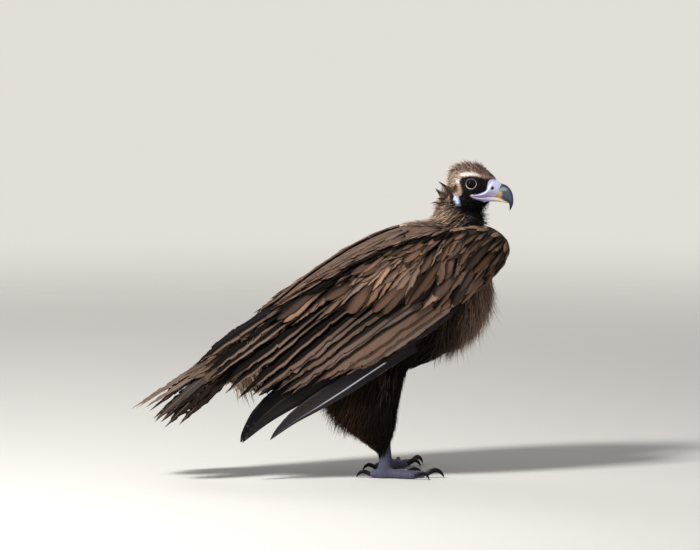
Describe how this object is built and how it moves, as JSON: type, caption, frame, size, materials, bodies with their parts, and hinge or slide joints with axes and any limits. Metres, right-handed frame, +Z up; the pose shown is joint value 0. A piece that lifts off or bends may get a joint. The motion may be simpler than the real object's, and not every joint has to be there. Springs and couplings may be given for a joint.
{
  "type": "cinereous vulture model",
  "caption": "Life-size standing cinereous (Eurasian black) vulture with folded wings, bare cere, hooked bill and clawed feet.",
  "frame": {"origin": "on the floor, under the middle of the model's outline box", "axes": "+X the way the body faces, +Y the bird's left, +Z up"},
  "size_m": [0.895, 0.3534, 0.732],
  "materials": {
    "wing_coverts": "matt brown feathers with tan edges",
    "body_plumage": "matt dark brown feathers",
    "flight_feathers": "satin blackish brown feathers",
    "tail_feathers": "satin grey-brown feathers",
    "ruff_down": "soft brown down",
    "head_down": "short mottled down with a black mask",
    "thigh_plumage": "loose blackish brown feathers",
    "cere_skin": "bare pale lilac skin",
    "upper_horn": "smooth blue-grey horn",
    "lower_horn": "smooth pale lilac and cream horn",
    "eyeball": "wet dark brown eye",
    "leg_scutes": "pale lilac-grey scaly skin",
    "claw_horn": "smooth black horn"
  },
  "bodies": {
    "root": {"wing_arm_right": "wing_coverts", "secondaries_right": "flight_feathers", "primaries_right": "flight_feathers", "wing_arm_left": "wing_coverts", "secondaries_left": "flight_feathers", "primaries_left": "flight_feathers", "trunk": "body_plumage", "tail": "tail_feathers", "ruff": "ruff_down", "head": "head_down", "neck": "ruff_down", "cere": "cere_skin", "beak_upper": "upper_horn", "beak_lower": "lower_horn", "eye_right": "eyeball", "eye_left": "eyeball", "thigh_right": "thigh_plumage", "tarsus_right": "leg_scutes", "toe_middle_right": "leg_scutes", "toe_inner_right": "leg_scutes", "toe_outer_right": "leg_scutes", "toe_hind_right": "leg_scutes", "claw_middle_right": "claw_horn", "claw_inner_right": "claw_horn", "claw_outer_right": "claw_horn", "claw_hind_right": "claw_horn", "thigh_left": "thigh_plumage", "tarsus_left": "leg_scutes", "toe_middle_left": "leg_scutes", "toe_inner_left": "leg_scutes", "toe_outer_left": "leg_scutes", "toe_hind_left": "leg_scutes", "claw_middle_left": "claw_horn", "claw_inner_left": "claw_horn", "claw_outer_left": "claw_horn", "claw_hind_left": "claw_horn"}
  },
  "joints": []
}
